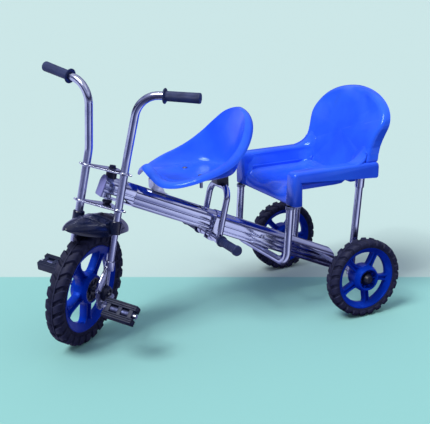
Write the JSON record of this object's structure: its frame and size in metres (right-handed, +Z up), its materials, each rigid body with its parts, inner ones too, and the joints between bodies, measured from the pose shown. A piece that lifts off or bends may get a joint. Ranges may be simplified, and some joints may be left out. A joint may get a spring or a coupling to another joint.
{
  "type": "two-seat children's tricycle",
  "caption": "Child's pedal tricycle for two: sloping chromed beam, bucket seat in front, arm-chair seat behind, pedals on the steered front wheel.",
  "frame": {"origin": "bottom centre of the part's box, on the floor, in the part's plane of symmetry", "axes": "+X forward along the part's length, +Y to the rider's left along the rear axle, +Z up"},
  "size_m": [0.911, 0.4654, 0.661],
  "materials": {
    "chromed_steel": "bright chrome plate",
    "zinc_plated_steel": "dull zinc plate",
    "blue_plastic": "satin moulded polyethylene",
    "wheel_blue_plastic": "satin moulded polypropylene",
    "tyre_rubber": "matt lugged rubber",
    "grip_rubber": "matt soft rubber",
    "black_plastic": "fine-grained moulding",
    "pedal_plastic": "fine-grained moulding"
  },
  "bodies": {
    "frame": {"main_beam": "chromed_steel", "beam_end_cap": "black_plastic", "upper_pivot_bush": "black_plastic", "lower_pivot_neck": "chromed_steel", "lower_pivot_cup": "black_plastic", "beam_bolt": "chromed_steel", "rear_axle": "chromed_steel", "seat_frame_tube": "chromed_steel", "peg_bar": "chromed_steel", "seat_post_hoop": "chromed_steel", "saddle_clamp": "chromed_steel", "front_seat_bracket": "chromed_steel", "seat_mount_block": "black_plastic", "front_seat": "blue_plastic", "rear_seat": "blue_plastic", "rear_post_left": "chromed_steel", "rear_post_right": "chromed_steel", "seat_flange_left": "zinc_plated_steel", "seat_flange_right": "zinc_plated_steel", "peg_grip_left": "grip_rubber", "peg_grip_right": "grip_rubber", "front_seat_screw_left": "zinc_plated_steel", "front_seat_screw_right": "zinc_plated_steel", "axle_cap_left": "black_plastic", "axle_cap_right": "black_plastic", "axle_spacer_left": "zinc_plated_steel", "axle_spacer_right": "zinc_plated_steel"},
    "fork": {"handlebar_left": "chromed_steel", "handlebar_right": "chromed_steel", "grip_left": "grip_rubber", "grip_right": "grip_rubber", "upper_plate": "chromed_steel", "lower_plate": "chromed_steel", "pivot_bolt_upper": "zinc_plated_steel", "pivot_bolt_lower": "zinc_plated_steel", "fork_end_left": "chromed_steel", "fork_end_right": "chromed_steel", "fork_bolt_left": "zinc_plated_steel", "fork_bolt_right": "zinc_plated_steel", "crank_bush_left": "black_plastic", "crank_bush_right": "black_plastic", "mudguard": "black_plastic"},
    "front_wheel": {"front_tyre": "tyre_rubber", "front_rim": "wheel_blue_plastic", "hub_insert_left": "black_plastic", "hub_insert_right": "black_plastic", "crank_axle": "chromed_steel"},
    "pedal_left": {"pedal_left": "pedal_plastic", "pedal_sleeve_left": "zinc_plated_steel"},
    "pedal_right": {"pedal_right": "pedal_plastic", "pedal_sleeve_right": "zinc_plated_steel"},
    "rear_wheel_left": {"rear_tyre_left": "tyre_rubber", "rear_rim_left": "wheel_blue_plastic"},
    "rear_wheel_right": {"rear_tyre_right": "tyre_rubber", "rear_rim_right": "wheel_blue_plastic"}
  },
  "joints": [
    {"name": "steer", "type": "hinge", "parent": "frame", "child": "fork", "pos_m": [0.31201, 0, 0.13544], "axis": [-0.2334, 0, 0.9724], "range_deg": [-85.5, 4.5]},
    {"name": "front_wheel", "type": "hinge", "parent": "fork", "child": "front_wheel", "pos_m": [0.33642, 0.02143, 0.1413], "axis": [-0.6315, 0.7604, -0.1516], "continuous": true},
    {"name": "pedal_left", "type": "hinge", "parent": "front_wheel", "child": "pedal_left", "pos_m": [0.3895, 0.06668, 0.14714], "axis": [-0.6315, 0.7604, -0.1516], "continuous": true},
    {"name": "pedal_right", "type": "hinge", "parent": "front_wheel", "child": "pedal_right", "pos_m": [0.28333, -0.02382, 0.13545], "axis": [-0.6315, 0.7604, -0.1516], "continuous": true},
    {"name": "rear_wheel_left", "type": "hinge", "parent": "frame", "child": "rear_wheel_left", "pos_m": [-0.33078, 0.2024, 0.10075], "axis": [0, 1, 0], "continuous": true},
    {"name": "rear_wheel_right", "type": "hinge", "parent": "frame", "child": "rear_wheel_right", "pos_m": [-0.33078, -0.2024, 0.10075], "axis": [0, 1, 0], "continuous": true}
  ]
}
